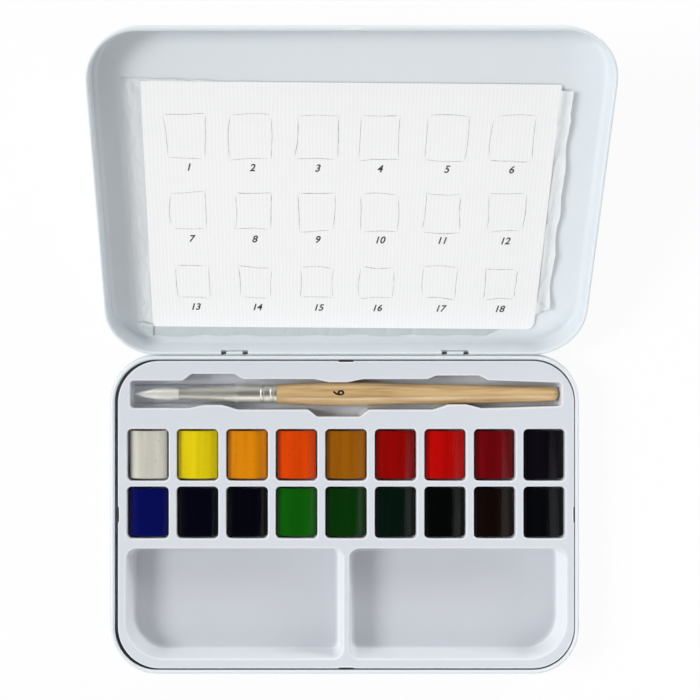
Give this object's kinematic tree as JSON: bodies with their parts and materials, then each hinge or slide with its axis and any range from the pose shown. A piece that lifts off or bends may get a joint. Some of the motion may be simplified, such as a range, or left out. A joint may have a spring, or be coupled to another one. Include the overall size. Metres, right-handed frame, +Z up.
{
  "type": "watercolour paint set",
  "caption": "Hinged tin with a moulded tray of watercolour cakes and mixing wells, a capped brush, and a colour chart on tissue in the open lid.",
  "frame": {"origin": "middle of the underside of the base", "axes": "+X along the hinge to the right, +Y towards the hinge and the open lid, +Z up"},
  "size_m": [0.2002, 0.2585, 0.0758],
  "materials": {
    "base_tin": "white enamel",
    "brush_cap": "clear plastic tube",
    "brush_ferrule": "polished",
    "brush_handle": "clear lacquered light wood",
    "brush_head": "off-white synthetic hair",
    "cake_01_ivory": "dried gum-bound paint, slightly glossy",
    "cake_02_lemon": "dried gum-bound paint, slightly glossy",
    "cake_03_golden_yellow": "dried gum-bound paint, slightly glossy",
    "cake_04_orange": "dried gum-bound paint, slightly glossy",
    "cake_05_ochre": "dried gum-bound paint, slightly glossy",
    "cake_06_deep_red": "dried gum-bound paint, slightly glossy",
    "cake_07_red": "dried gum-bound paint, slightly glossy",
    "cake_08_carmine": "dried gum-bound paint, slightly glossy",
    "cake_09_violet": "dried gum-bound paint, slightly glossy",
    "cake_10_blue": "dried gum-bound paint, slightly glossy",
    "cake_11_indigo": "dried gum-bound paint, slightly glossy",
    "cake_12_ink_blue": "dried gum-bound paint, slightly glossy",
    "cake_13_green": "dried gum-bound paint, slightly glossy",
    "cake_14_dark_green": "dried gum-bound paint, slightly glossy",
    "cake_15_blue_green": "dried gum-bound paint, slightly glossy",
    "cake_16_black_green": "dried gum-bound paint, slightly glossy",
    "cake_17_umber": "dried gum-bound paint, slightly glossy",
    "cake_18_black": "dried gum-bound paint, slightly glossy",
    "colour_chart": "white laid paper card",
    "hinge_wire_left": "bright steel wire",
    "hinge_wire_right": "bright steel wire",
    "lid_tin": "white enamel",
    "tissue": "white tissue paper",
    "tray": "white moulded plastic"
  },
  "bodies": {
    "base": {"base_tin": "base_tin"},
    "lid": {"lid_tin": "lid_tin", "hinge_wire_left": "hinge_wire_left", "hinge_wire_right": "hinge_wire_right"},
    "tissue": {"tissue": "tissue"},
    "chart": {"colour_chart": "colour_chart"},
    "tray": {"tray": "tray", "cake_01_ivory": "cake_01_ivory", "cake_02_lemon": "cake_02_lemon", "cake_03_golden_yellow": "cake_03_golden_yellow", "cake_04_orange": "cake_04_orange", "cake_05_ochre": "cake_05_ochre", "cake_06_deep_red": "cake_06_deep_red", "cake_07_red": "cake_07_red", "cake_08_carmine": "cake_08_carmine", "cake_09_violet": "cake_09_violet", "cake_10_blue": "cake_10_blue", "cake_11_indigo": "cake_11_indigo", "cake_12_ink_blue": "cake_12_ink_blue", "cake_13_green": "cake_13_green", "cake_14_dark_green": "cake_14_dark_green", "cake_15_blue_green": "cake_15_blue_green", "cake_16_black_green": "cake_16_black_green", "cake_17_umber": "cake_17_umber", "cake_18_black": "cake_18_black"},
    "brush": {"brush_handle": "brush_handle", "brush_ferrule": "brush_ferrule", "brush_head": "brush_head"},
    "cap": {"brush_cap": "brush_cap"}
  },
  "joints": [
    {"name": "lid_hinge", "type": "hinge", "parent": "base", "child": "lid", "pos_m": [0, 0.06785, 0.01135], "axis": [1, 0, 0], "range_deg": [0, 152]},
    {"name": "tissue_lift", "type": "slide", "parent": "lid", "child": "tissue", "axis": [0, 0.4695, -0.8829], "range_m": [-0.01, 0]},
    {"name": "chart_lift", "type": "slide", "parent": "tissue", "child": "chart", "axis": [0, 0.4695, -0.8829], "range_m": [-0.015, 0]},
    {"name": "tray_lift", "type": "slide", "parent": "base", "child": "tray", "axis": [0, 0, -1], "range_m": [-0.03, 0]},
    {"name": "brush_lift", "type": "slide", "parent": "tray", "child": "brush", "axis": [0, 0, -1], "range_m": [-0.03, 0]},
    {"name": "cap_slide", "type": "slide", "parent": "brush", "child": "cap", "axis": [1, 0, 0], "range_m": [-0.0009, 0]}
  ]
}
